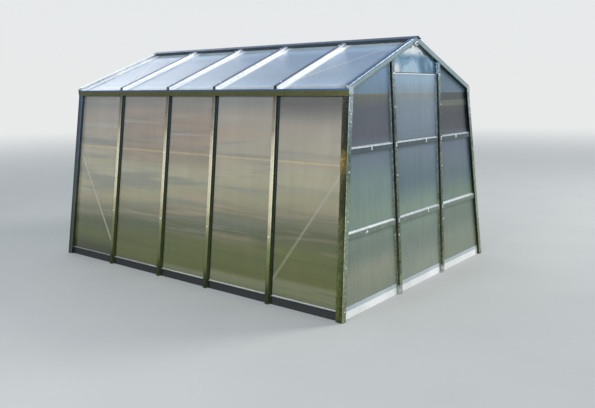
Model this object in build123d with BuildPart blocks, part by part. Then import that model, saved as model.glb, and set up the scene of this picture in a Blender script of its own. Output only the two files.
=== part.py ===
from build123d import *
import os
from math import atan, atan2, cos, degrees, sin, tan

# Greenhouse of folded galvanised steel with twin-wall sheets, all sizes in mm.
# Origin on the ground in the middle of the base, +Z up, ridge along Y, the gable seen is at -Y.
# The long wall seen is at -X. Sheets, rails and hat bars all lie on the outer faces set here.

# Outer faces of the sheets
base_width = 2600
base_length = 3740
eave_height = 1780
ridge_height = 2182
wall_lean = 268
gable_lean = 116

# Frames along the building and posts across the gable
middle_bay = 670
gable_post_spacing = 828
lower_rail_height = 671
upper_rail_height = 1320
plate_depth = 278
girt_height = 1195

# Sheets
sheet_thickness = 6
sheet_joint = 22
seat_gap = 0.3
ridge_gap = 3

# Folded steel
steel = 2
bend_radius = 3
hat_height = 28
hat_crown = 36
hat_slant = 5
hat_flange = 16
rail_height = 16
rail_face = 42
rail_slope = 16
rail_lip = 5
corner_wall_face = 68
corner_gable_face = 48
verge_roof_face = 44
verge_gable_face = 50
eave_leg = 42
eave_lip = 13
eave_shelf = 72
sheet_setback = 8
ridge_wing = 62
ridge_overhang = 12

# Base rails
base_height = 80
gable_base_height = 66
gable_base_cover = 32
base_upstand = 35
base_foot = 45
lip_width = 10
lip_drop = 6
notch_gap = 2

# Bars inside
girt_depth = 16
girt_crown = 14
girt_slant = 3
girt_flange = 8
brace_width = 28
brace_margin = 45
brace_drop = 45

half_width = base_width / 2
plate_bottom_height = ridge_height - plate_depth
half_length = base_length / 2
wall_angle = atan(wall_lean / eave_height)
gable_angle = atan(gable_lean / eave_height)
roof_angle = atan2(ridge_height - eave_height, half_width - wall_lean)

# Directions up each slope and out of each face: left wall, left roof slope, front gable
wall_up = Vector(sin(wall_angle), 0, cos(wall_angle))
wall_out = Vector(-cos(wall_angle), 0, sin(wall_angle))
roof_up = Vector(cos(roof_angle), 0, sin(roof_angle))
roof_out = Vector(-sin(roof_angle), 0, cos(roof_angle))
gable_up = Vector(0, sin(gable_angle), cos(gable_angle))
gable_out = Vector(0, -cos(gable_angle), sin(gable_angle))

# Frames lean together with the gables, so each keeps its share of the length at every height
outer_bay = (base_length - middle_bay) / 4
frame_shares = [middle_bay / base_length + side * 2 * outer_bay / base_length for side in (1, 0)]
frame_shares = [-share for share in frame_shares] + frame_shares[::-1]


def wall_point(share, height):
    """Point on the outer face of the left wall, on the frame with this share of the length."""
    reach = half_length - gable_lean * height / eave_height
    return Vector(wall_lean * height / eave_height - half_width, share * reach, height)


def roof_point(share, across):
    """Point on the outer face of the left roof slope, this far from the ridge."""
    height = ridge_height - across * tan(roof_angle)
    reach = half_length - gable_lean * height / eave_height
    return Vector(-across, share * reach, height)


def gable_point(across, height):
    """Point on the outer face of the front gable."""
    return Vector(across, gable_lean * height / eave_height - half_length, height)


def wall_face(offset=0):
    return Plane(origin=wall_point(0, 0) + wall_out * offset, x_dir=(0, 1, 0), z_dir=wall_out)


def roof_face(offset=0):
    return Plane(origin=roof_point(0, 0) + roof_out * offset, x_dir=(0, 1, 0), z_dir=roof_out)


def gable_face(offset=0):
    return Plane(origin=gable_point(0, 0) + gable_out * offset, x_dir=(1, 0, 0), z_dir=gable_out)


def other_side(plane):
    return Plane(
        origin=(-plane.origin.X, plane.origin.Y, plane.origin.Z),
        z_dir=(-plane.z_dir.X, plane.z_dir.Y, plane.z_dir.Z),
    )


def other_end(plane):
    return Plane(
        origin=(plane.origin.X, -plane.origin.Y, plane.origin.Z),
        z_dir=(plane.z_dir.X, -plane.z_dir.Y, plane.z_dir.Z),
    )


def horizontal(height):
    return Plane(origin=(0, 0, height), z_dir=(0, 0, 1))


def folded_bar(start, end, outward, points, cut_above=(), cut_below=(), spare=80):
    """Steel strip folded along these outer points, drawn from start to end and trimmed."""
    run = (end - start).normalized()
    section = Plane(origin=start - run * spare, x_dir=outward.cross(run), z_dir=run)
    with BuildPart() as bar:
        with BuildSketch(section):
            with BuildLine():
                FilletPolyline(*points, radius=bend_radius)
                offset(amount=steel, side=Side.RIGHT)
            make_face()
        extrude(amount=(end - start).length + 2 * spare)
        for plane in cut_above:
            split(bisect_by=plane, keep=Keep.BOTTOM)
        for plane in cut_below:
            split(bisect_by=plane, keep=Keep.TOP)
    return bar.part


def hat_points(crown, slant, flange, height):
    """Outer points of a hat section whose flanges lie on the face below it."""
    top = crown / 2
    bottom = top + slant
    edge = bottom + flange
    left = [(-edge, steel), (-bottom, steel), (-top, height)]
    return left + [(-x, y) for x, y in left[::-1]]


def corner_bar(start, end, out_a, out_b, face_a, face_b, cut_above=(), cut_below=(), spare=80):
    """Raised cover round a corner of two faces: a web, a face, the fold, a face and a web."""
    run = (end - start).normalized()
    along_a = out_a.cross(run)
    if along_a.dot(out_b) > 0:
        along_a = -along_a
    along_b = out_b.cross(run)
    if along_b.dot(out_a) > 0:
        along_b = -along_b
    away = along_a.cross(out_a)
    first = start if away.dot(run) > 0 else end
    section = Plane(origin=first - away * spare, x_dir=along_a, z_dir=away)
    fold = (out_a + out_b) * (hat_height / (1 + out_a.dot(out_b)))
    reach_a = along_a * (face_a - hat_height)
    reach_b = along_b * (face_b - hat_height)
    corners = (reach_a, reach_a + out_a * hat_height, fold, reach_b + out_b * hat_height, reach_b)
    with BuildPart() as bar:
        with BuildSketch(section):
            with BuildLine():
                points = [(v.dot(section.x_dir), v.dot(section.y_dir)) for v in corners]
                FilletPolyline(*points, radius=bend_radius)
                offset(amount=steel, side=Side.LEFT)
            make_face()
        extrude(amount=(end - start).length + 2 * spare)
        for plane in cut_above:
            split(bisect_by=plane, keep=Keep.BOTTOM)
        for plane in cut_below:
            split(bisect_by=plane, keep=Keep.TOP)
    return bar.part


def sheet(face, corners, cut_above=(), cut_below=(), thickness=sheet_thickness):
    """Flat sheet with these corners on its outer face, trimmed by planes."""
    with BuildPart() as slab:
        with BuildSketch(face):
            with BuildLine():
                local = [face.to_local_coords(point) for point in corners]
                Polyline(*[(point.X, point.Y) for point in local], close=True)
            make_face()
        extrude(amount=-thickness)
        for plane in cut_above:
            split(bisect_by=plane, keep=Keep.BOTTOM)
        for plane in cut_below:
            split(bisect_by=plane, keep=Keep.TOP)
    return slab.part


def flat_bar(face, start, end):
    """Flat brace on a sheet's inner face between two points."""
    first = face.to_local_coords(start)
    last = face.to_local_coords(end)
    middle = (first + last) / 2
    run = last - first
    with BuildPart() as bar:
        with BuildSketch(face):
            with Locations((middle.X, middle.Y)):
                Rectangle(run.length, brace_width, rotation=degrees(atan2(run.Y, run.X)))
        extrude(amount=-steel)
    return bar.part


# Planes where pieces meet
shelf_underside = roof_face(-sheet_thickness - steel)
sheet_head = roof_face(-sheet_thickness - steel - seat_gap)
post_head = roof_face(-sheet_thickness - bend_radius - seat_gap)
verge_edge = roof_face(hat_height - verge_gable_face)
eave_inside = wall_face(hat_height - seat_gap)
ridge_side = Plane.YZ.offset(-ridge_gap)
gable_crown_inside = gable_face(hat_height - steel)
gable_inside = gable_face(-sheet_thickness - seat_gap)
wall_inside = wall_face(-sheet_thickness - seat_gap)
corner_start = Vector(-half_width, -half_length, 0)
corner_end = wall_point(-1, eave_height)
corner_run = (corner_end - corner_start).normalized()
mitre = Plane(origin=corner_start, z_dir=-Vector(1, 1, 0).cross(corner_run))

# Front and back of each bay, as shares of the length at the outer faces
bay_edges = [-1] + frame_shares + [1]
hat_reach = hat_crown / 2 + hat_slant + hat_flange


def joint_side(share):
    """Half a joint's width, none at the gables."""
    return 0 if abs(share) == 1 else sheet_joint / 2


def lip_spans(edges, corner_face):
    """Start and end of each length of a base rail's lip, clear of the posts."""
    spans = []
    for first, last in zip(edges[:-1], edges[1:]):
        from_post = hat_reach if first > edges[0] else corner_face - hat_height
        to_post = hat_reach if last < edges[-1] else corner_face - hat_height
        spans.append((first + from_post + notch_gap, last - to_post - notch_gap))
    return spans


def base_rail(face, lean, height, length, lip, spans):
    """Base rail folded from steel: foot, face, ledge under the sheets, upstand behind them, and a lip."""
    ledge = height * tan(lean)
    back = ledge + sheet_thickness + seat_gap
    upstand_end = (back + base_upstand * tan(lean), height + base_upstand)
    with BuildPart() as rail:
        with BuildSketch(face):
            with BuildLine():
                Polyline((base_foot, 0), (0, 0), (ledge, height), (back, height), upstand_end)
                offset(amount=steel, side=Side.RIGHT, kind=Kind.INTERSECTION)
            make_face()
        extrude(amount=length / 2, both=True)
        for first, last in spans:
            with BuildSketch(face.offset(first)):
                with BuildLine():
                    Polyline(*lip, close=True)
                make_face()
            extrude(amount=last - first)
    return rail.part


# Base rails, mitred at the corners. Long sides have a drip lip, gables a strip over the sheets' feet
lip_root = base_height - steel
lip_edge = base_height - lip_drop
drip_lip = [
    (lip_root * tan(wall_angle), lip_root),
    (base_height * tan(wall_angle), base_height),
    (-lip_width, lip_edge),
    (-lip_width, lip_edge - steel),
]
side_rail = base_rail(
    Plane(origin=(-half_width, 0, 0), x_dir=(1, 0, 0), z_dir=(0, -1, 0)),
    wall_angle,
    base_height,
    base_length + 100,
    drip_lip,
    lip_spans([wall_point(share, base_height).Y for share in bay_edges], corner_wall_face),
)

post_across = gable_post_spacing / 2
cover_root = gable_base_height - steel
cover_end = gable_base_height + gable_base_cover
cover_strip = [
    (cover_root * tan(gable_angle), cover_root),
    (gable_base_height * tan(gable_angle), gable_base_height),
    (gable_base_height * tan(gable_angle) - seat_gap, gable_base_height),
    (cover_end * tan(gable_angle) - seat_gap, cover_end),
    (cover_end * tan(gable_angle) - seat_gap - steel, cover_end),
    (cover_root * tan(gable_angle) - seat_gap - steel, cover_root),
]
gable_base_end = -wall_point(-1, cover_end).X
end_rail = base_rail(
    Plane(origin=(0, -half_length, 0), x_dir=(0, 1, 0), z_dir=(1, 0, 0)),
    gable_angle,
    gable_base_height,
    base_width + 100,
    cover_strip,
    lip_spans([-gable_base_end, -post_across, post_across, gable_base_end], corner_gable_face),
)

with BuildPart() as base_rail_left:
    add(side_rail)
    split(bisect_by=mitre, keep=Keep.TOP)
    split(bisect_by=other_end(mitre), keep=Keep.TOP)

with BuildPart() as base_rail_front:
    add(end_rail)
    split(bisect_by=mitre, keep=Keep.BOTTOM)
    split(bisect_by=other_side(mitre), keep=Keep.BOTTOM)

# Corner posts stand on the ground over the base rails
corner_post_front_left = corner_bar(
    corner_start,
    corner_end,
    wall_out,
    gable_out,
    corner_wall_face,
    corner_gable_face,
    cut_above=[verge_edge],
    cut_below=[horizontal(0)],
)

# Wall posts, one on each frame between the gables
hat_section = hat_points(hat_crown, hat_slant, hat_flange, hat_height)
posts = [
    folded_bar(
        wall_point(share, 0),
        wall_point(share, eave_height),
        wall_out,
        hat_section,
        cut_above=[post_head],
        cut_below=[horizontal(0)],
    )
    for share in frame_shares
]
with BuildPart() as wall_posts_left:
    add(posts)

# Rafters, one pair on each frame between the gables
rafters = [
    folded_bar(
        roof_point(share, half_width - wall_lean),
        roof_point(share, 0),
        roof_out,
        hat_section,
        cut_above=[eave_inside, ridge_side],
    )
    for share in frame_shares
]
with BuildPart() as rafters_left:
    add(rafters)

# Verges cover the corner between roof and gable
verge_front_left = corner_bar(
    roof_point(-1, half_width - wall_lean),
    roof_point(-1, 0),
    roof_out,
    gable_out,
    verge_roof_face,
    verge_gable_face,
    cut_above=[wall_face(hat_height), ridge_side],
)

# Eave rail: a leg over the heads of the posts, a shelf under the roof sheets and a lip in front of them
out_along_roof = 1 / wall_out.dot(roof_up)
up_along_wall = 1 / roof_out.dot(wall_up)
eave_line = wall_point(0, eave_height)
leg_reach = roof_up * ((hat_height + steel) * out_along_roof)
eave_fold = eave_line + leg_reach - wall_up * (sheet_thickness * up_along_wall)
leg_end = eave_fold - wall_up * eave_leg
shelf_end = eave_fold + roof_up * eave_shelf
lip_foot = eave_fold - wall_up * eave_lip
lip_top = eave_fold + wall_up * eave_lip
lip_corners = [lip_foot, lip_top, lip_top - wall_out * steel, lip_foot - wall_out * steel]
with BuildPart() as eave_rail_left:
    with BuildSketch(Plane.XZ):
        with BuildLine():
            eave_folds = [(point.X, point.Z) for point in (leg_end, eave_fold, shelf_end)]
            FilletPolyline(*eave_folds, radius=bend_radius)
            offset(amount=steel, side=Side.RIGHT)
        make_face()
        with BuildLine():
            Polyline(*[(point.X, point.Z) for point in lip_corners], close=True)
        make_face()
    extrude(amount=half_length, both=True)
    split(bisect_by=gable_crown_inside, keep=Keep.BOTTOM)
    split(bisect_by=other_end(gable_crown_inside), keep=Keep.BOTTOM)

# Ridge cap over the heads of the rafters
cap_apex = Vector(0, 0, ridge_height + (hat_height + steel) / cos(roof_angle))
wing_end = cap_apex - roof_up * ridge_wing
with BuildPart() as ridge_cap:
    with BuildSketch(Plane.XZ):
        with BuildLine():
            cap_folds = [(wing_end.X, wing_end.Z), (cap_apex.X, cap_apex.Z), (-wing_end.X, wing_end.Z)]
            FilletPolyline(*cap_folds, radius=bend_radius)
            offset(amount=steel, side=Side.RIGHT)
        make_face()
    extrude(amount=half_length, both=True)
    split(bisect_by=gable_face(hat_height + ridge_overhang), keep=Keep.BOTTOM)
    split(bisect_by=other_end(gable_face(hat_height + ridge_overhang)), keep=Keep.BOTTOM)

# Gable posts run from the ground to the verge
gable_post_front_left = folded_bar(
    gable_point(-post_across, 0),
    gable_point(-post_across, ridge_height),
    gable_out,
    hat_section,
    cut_above=[verge_edge],
    cut_below=[horizontal(0)],
)

# Gable rails in three lengths between the posts
gable_corner_along = gable_out.cross(corner_run)
if gable_corner_along.X < 0:
    gable_corner_along = -gable_corner_along
corner_web = Plane(
    origin=corner_start + gable_corner_along * (corner_gable_face - hat_height),
    z_dir=gable_corner_along,
)


def gable_rail(height):
    """The three lengths of one rail across the front gable: a face, a slope above it and a lip."""
    ends = (gable_point(-half_width, height), gable_point(half_width, height))
    points = [
        (-rail_face, 0),
        (-rail_face, rail_height),
        (0, rail_height),
        (rail_slope, steel),
        (rail_slope + rail_lip, steel),
    ]
    post_edge = post_across - hat_reach
    side_end = Plane.YZ.offset(-post_across - hat_reach)
    side = folded_bar(*ends, gable_out, points, cut_above=[side_end], cut_below=[corner_web])
    middle_ends = dict(cut_above=[Plane.YZ.offset(post_edge)], cut_below=[Plane.YZ.offset(-post_edge)])
    middle = folded_bar(*ends, gable_out, points, **middle_ends)
    with BuildPart() as rail:
        add([side, middle])
        mirror(side, about=Plane.YZ)
    return rail.part


gable_rail_front_lower = gable_rail(lower_rail_height)
gable_rail_front_upper = gable_rail(upper_rail_height)

# Steel plate that fills the apex between the gable posts
plate_edge = post_across - sheet_joint / 2
plate_corners = [
    (-plate_edge, plate_bottom_height),
    (plate_edge, plate_bottom_height),
    (plate_edge, ridge_height),
    (-plate_edge, ridge_height),
]
gable_plate_front = sheet(
    gable_face(),
    [gable_point(*corner) for corner in plate_corners],
    cut_above=[sheet_head, other_side(sheet_head)],
    thickness=steel,
)

# Wall girt on the inner face of the sheets
wall_girt_left = folded_bar(
    wall_point(1, girt_height) - wall_out * sheet_thickness,
    wall_point(-1, girt_height) - wall_out * sheet_thickness,
    -wall_out,
    hat_points(girt_crown, girt_slant, girt_flange, girt_depth),
    cut_above=[gable_inside, other_end(gable_inside)],
)

# Diagonal braces in the end bays, flat on the inner face of the sheets
first_frame = frame_shares[0]
girt_reach = girt_crown / 2 + girt_slant + girt_flange
brace_high = wall_point(-1, girt_height - girt_reach - brace_drop) + Vector(0, brace_margin, 0)
brace_low = wall_point(first_frame, base_height + base_upstand + brace_margin)
wall_brace = flat_bar(wall_face(-sheet_thickness), brace_high, brace_low)
with BuildPart() as wall_braces_left:
    add(wall_brace)
    mirror(wall_brace, about=Plane.XZ)

eave_end = roof_point(first_frame, -shelf_end.X - brace_margin)
ridge_end = roof_point(-1, brace_margin) + Vector(0, 1.5 * brace_margin, 0)
roof_brace = flat_bar(roof_face(-sheet_thickness), eave_end, ridge_end)
with BuildPart() as roof_braces_left:
    add(roof_brace)
    mirror(roof_brace, about=Plane.XZ)


def bay_sheet(face, corners, first, last, **cuts):
    """One sheet between two frames, with half a joint left at each."""
    near = Vector(0, joint_side(first), 0)
    far = Vector(0, -joint_side(last), 0)
    low_near, low_far, high_far, high_near = corners
    return sheet(face, [low_near + near, low_far + far, high_far + far, high_near + near], **cuts)


# Sheets of the long wall and of the roof slope, one in each bay
wall_sheets = []
roof_sheets = []
for first, last in zip(bay_edges[:-1], bay_edges[1:]):
    wall_spots = ((first, 0), (last, 0), (last, ridge_height), (first, ridge_height))
    roof_spots = ((first, half_width), (last, half_width), (last, -60), (first, -60))
    wall_sheets.append(
        bay_sheet(
            wall_face(),
            [wall_point(*spot) for spot in wall_spots],
            first,
            last,
            cut_above=[shelf_underside],
            cut_below=[horizontal(base_height + seat_gap)],
        )
    )
    roof_sheets.append(
        bay_sheet(
            roof_face(),
            [roof_point(*spot) for spot in roof_spots],
            first,
            last,
            cut_above=[wall_face(hat_height + steel - sheet_setback), Plane.YZ.offset(-seat_gap)],
        )
    )
with BuildPart() as wall_sheets_left:
    add(wall_sheets)
with BuildPart() as roof_sheets_left:
    add(roof_sheets)

# Sheets of the gable, one in each bay and tier
tier_edges = [0, lower_rail_height, upper_rail_height, ridge_height + 60]


def gable_column(first, last, top):
    """Sheets one above the other between two heights across the gable, up to this height."""
    tiers = []
    for low, high in zip(tier_edges[:-1], tier_edges[1:]):
        start = low + sheet_joint / 2
        end = min(high - sheet_joint / 2, top)
        corners = [(first, start), (last, start), (last, end), (first, end)]
        tiers.append(
            sheet(
                gable_face(),
                [gable_point(*corner) for corner in corners],
                cut_above=[wall_inside, sheet_head, other_side(sheet_head)],
                cut_below=[horizontal(gable_base_height + seat_gap)],
            )
        )
    with BuildPart() as column:
        add(tiers)
    return column.part


gable_sheets_front_left = gable_column(-half_width, -post_across - sheet_joint / 2, ridge_height)
gable_sheets_front_middle = gable_column(-plate_edge, plate_edge, plate_bottom_height - seat_gap)

# The other side and the other end repeat these pieces
left_pieces = {
    "base_rail": base_rail_left.part,
    "wall_posts": wall_posts_left.part,
    "rafters": rafters_left.part,
    "eave_rail": eave_rail_left.part,
    "wall_girt": wall_girt_left,
    "wall_braces": wall_braces_left.part,
    "roof_braces": roof_braces_left.part,
    "wall_sheets": wall_sheets_left.part,
    "roof_sheets": roof_sheets_left.part,
}
front_pieces = {
    "base_rail_{end}": base_rail_front.part,
    "gable_rail_{end}_lower": gable_rail_front_lower,
    "gable_rail_{end}_upper": gable_rail_front_upper,
    "gable_plate_{end}": gable_plate_front,
    "gable_sheets_{end}_middle": gable_sheets_front_middle,
}
corner_pieces = {
    "corner_post": corner_post_front_left,
    "verge": verge_front_left,
    "gable_post": gable_post_front_left,
    "gable_sheets": gable_sheets_front_left,
}


def mirrored(piece, about):
    """The same piece on the other side of a plane."""
    with BuildPart() as other:
        mirror(piece, about=about)
    return other.part


pieces = {"ridge_cap": ridge_cap.part}
for name, piece in left_pieces.items():
    pieces[name + "_left"] = piece
    pieces[name + "_right"] = mirrored(piece, Plane.YZ)
for name, piece in front_pieces.items():
    pieces[name.format(end="front")] = piece
    pieces[name.format(end="back")] = mirrored(piece, Plane.XZ)
for name, piece in corner_pieces.items():
    right = mirrored(piece, Plane.YZ)
    pieces[name + "_front_left"] = piece
    pieces[name + "_front_right"] = right
    pieces[name + "_back_left"] = mirrored(piece, Plane.XZ)
    pieces[name + "_back_right"] = mirrored(right, Plane.XZ)

os.makedirs("parts", exist_ok=True)
for name, part in pieces.items():
    part.label = name
    export_step(part, f"parts/{name}.step")
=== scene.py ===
import math

import bmesh
import bpy
from mathutils import Matrix, Vector


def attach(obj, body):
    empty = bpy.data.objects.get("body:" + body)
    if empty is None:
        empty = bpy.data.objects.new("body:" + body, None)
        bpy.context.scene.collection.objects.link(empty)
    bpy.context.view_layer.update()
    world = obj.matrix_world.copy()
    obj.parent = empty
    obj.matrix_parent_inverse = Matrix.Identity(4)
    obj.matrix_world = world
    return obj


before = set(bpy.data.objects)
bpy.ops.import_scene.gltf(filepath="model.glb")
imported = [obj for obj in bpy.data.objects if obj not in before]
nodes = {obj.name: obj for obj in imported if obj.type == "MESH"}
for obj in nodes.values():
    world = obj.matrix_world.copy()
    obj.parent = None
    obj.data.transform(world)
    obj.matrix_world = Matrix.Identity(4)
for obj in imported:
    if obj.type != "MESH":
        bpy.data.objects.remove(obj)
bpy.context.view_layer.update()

# Sizes of the frame in metres, as the construction source has them
base_width = 2.6
base_length = 3.74
eave_height = 1.78
ridge_height = 2.182
wall_lean = 0.268
gable_lean = 0.116
middle_bay = 0.67
gable_post_spacing = 0.828
lower_rail_height = 0.671
upper_rail_height = 1.32
girt_height = 1.195
hat_height = 0.028
hat_crown = 0.036
rail_height = 0.016

half_width = base_width / 2
half_length = base_length / 2
wall_angle = math.atan(wall_lean / eave_height)
gable_angle = math.atan(gable_lean / eave_height)
roof_angle = math.atan2(ridge_height - eave_height, half_width - wall_lean)

wall_up = Vector((math.sin(wall_angle), 0, math.cos(wall_angle)))
wall_out = Vector((-math.cos(wall_angle), 0, math.sin(wall_angle)))
roof_up = Vector((math.cos(roof_angle), 0, math.sin(roof_angle)))
roof_out = Vector((-math.sin(roof_angle), 0, math.cos(roof_angle)))
gable_up = Vector((0, math.sin(gable_angle), math.cos(gable_angle)))
gable_out = Vector((0, -math.cos(gable_angle), math.sin(gable_angle)))

outer_bay = (base_length - middle_bay) / 4
inner_share = middle_bay / base_length
outer_share = inner_share + 2 * outer_bay / base_length
frame_shares = [-outer_share, -inner_share, inner_share, outer_share]


def wall_point(share, height):
    """Point on the outer face of the left wall, on the frame with this share of the length."""
    reach = half_length - gable_lean * height / eave_height
    return Vector((wall_lean * height / eave_height - half_width, share * reach, height))


def roof_point(share, across):
    """Point on the outer face of the left roof slope, this far from the ridge."""
    height = ridge_height - across * math.tan(roof_angle)
    reach = half_length - gable_lean * height / eave_height
    return Vector((-across, share * reach, height))


def gable_point(across, height):
    """Point on the outer face of the front gable."""
    return Vector((across, gable_lean * height / eave_height - half_length, height))


class Shader:
    """A material's node tree with short calls for the nodes used here."""

    def __init__(self, name):
        self.material = bpy.data.materials.new(name)
        self.material.use_nodes = True
        self.tree = self.material.node_tree
        self.tree.nodes.clear()
        self.output = self.tree.nodes.new("ShaderNodeOutputMaterial")
        self.position = self.node("ShaderNodeTexCoord").outputs["Object"]
        split = self.node("ShaderNodeSeparateXYZ", {0: self.position})
        self.x, self.y, self.z = split.outputs

    def put(self, socket, value):
        if isinstance(value, bpy.types.NodeSocket):
            self.tree.links.new(value, socket)
        else:
            socket.default_value = value

    def node(self, kind, inputs=None, **settings):
        made = self.tree.nodes.new(kind)
        for key, value in settings.items():
            setattr(made, key, value)
        for key, value in (inputs or {}).items():
            self.put(made.inputs[key], value)
        return made

    def math(self, operation, a, b=0.0, clamp=False):
        made = self.node("ShaderNodeMath", {0: a, 1: b}, operation=operation, use_clamp=clamp)
        return made.outputs[0]

    def span(self, value, start, end, low=0.0, high=1.0):
        """Smooth step of a value from start to end."""
        made = self.node(
            "ShaderNodeMapRange",
            {0: value, 1: start, 2: end, 3: low, 4: high},
            interpolation_type="SMOOTHSTEP",
        )
        return made.outputs[0]

    def mix(self, share, a, b, blend="MIX"):
        made = self.node("ShaderNodeMix", {0: share, 6: a, 7: b}, data_type="RGBA", blend_type=blend)
        return made.outputs[2]

    def tint(self, colour, shade):
        """The colour made lighter or darker by a number."""
        grey = self.node("ShaderNodeCombineColor", {0: shade, 1: shade, 2: shade}).outputs[0]
        return self.mix(1.0, colour, grey, "MULTIPLY")

    def stretch(self, x, y, z):
        """The position scaled on each axis."""
        made = self.node("ShaderNodeVectorMath", {0: self.position, 1: (x, y, z)}, operation="MULTIPLY")
        return made.outputs[0]

    def noise(self, vector, scale, detail=2.0, rough=0.5, twist=0.0):
        made = self.node(
            "ShaderNodeTexNoise",
            {"Vector": vector, "Scale": scale, "Detail": detail, "Roughness": rough, "Distortion": twist},
        )
        return made.outputs["Fac"]

    def above(self, face):
        """How far the surface stands above the outer face of the sheets: wall, gable or roof."""
        across, angle, start, height = {
            "wall": (self.x, wall_angle, half_width, 0.0),
            "gable": (self.y, gable_angle, half_length, 0.0),
            "roof": (self.x, math.pi / 2 - roof_angle, 0.0, ridge_height),
        }[face]
        out = self.math("SUBTRACT", self.math("ABSOLUTE", across), start)
        up = self.math("SUBTRACT", self.z, height)
        out = self.math("MULTIPLY", out, math.cos(angle))
        up = self.math("MULTIPLY", up, math.sin(angle))
        return self.math("ADD", out, up)

    def finish(self, surface):
        self.tree.links.new(surface, self.output.inputs["Surface"])
        return self.material


def rgb(red, green, blue):
    """Colour from its values as they show on screen, 0 to 255."""
    shown = [value / 255 for value in (red, green, blue)]
    linear = [v / 12.92 if v <= 0.04045 else ((v + 0.055) / 1.055) ** 2.4 for v in shown]
    return (*linear, 1.0)


# Patterns on steel, as noise scales: larger is finer
spangle_scale = 85.0
stain_scale = 4.0
blotch_scale = 42.0
grain_scale = 160.0
dent_scale = 5.5
grain_depth = 0.0006
stain_strength = 0.5
roughness_change = 0.14


def steel(name, paint, rough=0.34, spangle=0.12, metal=0.85, wave=0.0, hollow_shade_reach=0.02, blotch=0.0):
    """Galvanised steel: spangle, faint stains and fine grain over the colour that paint gives, with painted
    shade darkening its hollows where asked.
    """
    s = Shader(name)
    colour = paint(s)
    cells = s.node("ShaderNodeTexVoronoi", {"Vector": s.position, "Scale": spangle_scale})
    grain = s.node("ShaderNodeSeparateColor", {0: cells.outputs["Color"]}).outputs[0]
    broad = s.noise(s.position, stain_scale, 3.0)
    shade = s.math("ADD", s.math("MULTIPLY", grain, spangle), s.math("MULTIPLY", broad, stain_strength))
    shade = s.math("ADD", shade, 1 - (stain_strength + spangle) / 2)
    if blotch:
        spots = s.span(s.noise(s.position, blotch_scale), 0.40, 0.62)
        shade = s.math("MULTIPLY", shade, s.span(spots, 0.0, 1.0, 1 - blotch, 1 + blotch / 2))
    # Painted shade: ambient occlusion darkens the colour in hollows, creases and corners
    if hollow_shade_reach:
        hollow_occlusion = s.node("ShaderNodeAmbientOcclusion", {"Distance": hollow_shade_reach}, samples=6).outputs["AO"]
        shade = s.math("MULTIPLY", shade, s.span(hollow_occlusion, 0.05, 0.42, 0.20, 1.0))
    colour = s.tint(colour, shade)
    uneven = s.math("MULTIPLY", grain, roughness_change)
    roughness = s.math("ADD", uneven, rough - roughness_change / 2)
    fine = s.noise(s.position, grain_scale)
    normal = s.node("ShaderNodeBump", {"Strength": 0.10, "Distance": grain_depth, "Height": fine}).outputs[0]
    if wave:
        swell = s.noise(s.position, dent_scale, 1.0)
        dents = {"Strength": 1.0, "Distance": wave, "Height": swell, "Normal": normal}
        normal = s.node("ShaderNodeBump", dents).outputs[0]
    surface = s.node(
        "ShaderNodeBsdfPrincipled",
        {"Base Color": colour, "Metallic": metal, "Roughness": roughness, "Normal": normal},
    )
    return s.finish(surface.outputs[0])


def plain(colour):
    return lambda s: colour


def banded(s, along, colour, bands):
    """The colour, blended into each band's colour from the band's start to its end."""
    for start, end, next_colour in bands:
        colour = s.mix(s.span(along, start, end), colour, next_colour)
    return colour


def by_height(stops):
    """Colour blended between heights above the ground."""
    bands = [(low, high, colour) for (low, _), (high, colour) in zip(stops, stops[1:])]

    def paint(s, height=None):
        return banded(s, height or s.z, stops[0][1], bands)

    return paint


# Where a hat bar's webs and crown begin, as heights above the sheets
web_start = (0.0020, 0.0045)
crown_start = (0.0225, 0.0255)


def hat_paint(face, crown, web, flange):
    """Crown, webs and flanges of a hat bar on a wall, gable or roof."""

    def paint(s):
        return banded(s, s.above(face), flange(s), [(*web_start, web(s)), (*crown_start, crown(s))])

    return paint


# Heights above the gable at which a corner post's wall face ends, darkening towards its edge with painted
# shade, and its flange begins
corner_edge_shade_span = (-0.034, 0.020)
corner_flange_start = (0.022, 0.026)


def corner_paint(stops):
    """Wall face darker towards the edge as painted shade, and a flange on the gable painted paler as lit."""

    def paint(s):
        above = s.above("gable")
        colour = s.tint(by_height(stops)(s), s.span(above, *corner_edge_shade_span, 1.35, 0.70))
        return s.mix(s.span(above, *corner_flange_start), colour, by_height(corner_flange_light_stops)(s))

    return paint


# Heights on a gable rail from its bend: the fading slope, the bend itself and the dark edge. The slope
# carries a painted highlight, the face a painted shade and the edge a painted shadow
rail_slope_span = (0.002, 0.014)
rail_bend_span = (-0.0050, -0.0035)
upper_bend_shift = 0.0045
rail_shadow_edge_span = (-0.0415, -0.0385)
highlight_grows_across = (0.40, 0.43)


def rail_paint(s):
    """Bright slope on top of a gable rail as a painted highlight, brighter towards the right, a duller face
    under the bend as painted shade and a dark lower edge as a painted shadow.
    """
    upper = s.math("GREATER_THAN", s.z, (lower_rail_height + upper_rail_height) / 2)
    bend = s.math("ADD", lower_rail_height, s.math("MULTIPLY", upper, upper_rail_height - lower_rail_height))
    local = s.math("SUBTRACT", s.z, bend)
    fading = s.mix(s.span(local, *rail_slope_span), rgb(154, 163, 168), rgb(98, 106, 116))
    slope = s.mix(s.span(s.x, *highlight_grows_across), rgb(146, 155, 156), rgb(174, 184, 185))
    slope = s.mix(upper, slope, fading)
    face = s.mix(upper, rgb(124, 137, 124), rgb(76, 92, 98))
    folded = s.math("SUBTRACT", local, s.math("MULTIPLY", upper, upper_bend_shift))
    colour = s.mix(s.span(folded, *rail_bend_span), face, slope)
    return s.mix(s.span(local, *rail_shadow_edge_span), rgb(54, 60, 56), colour)


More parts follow.
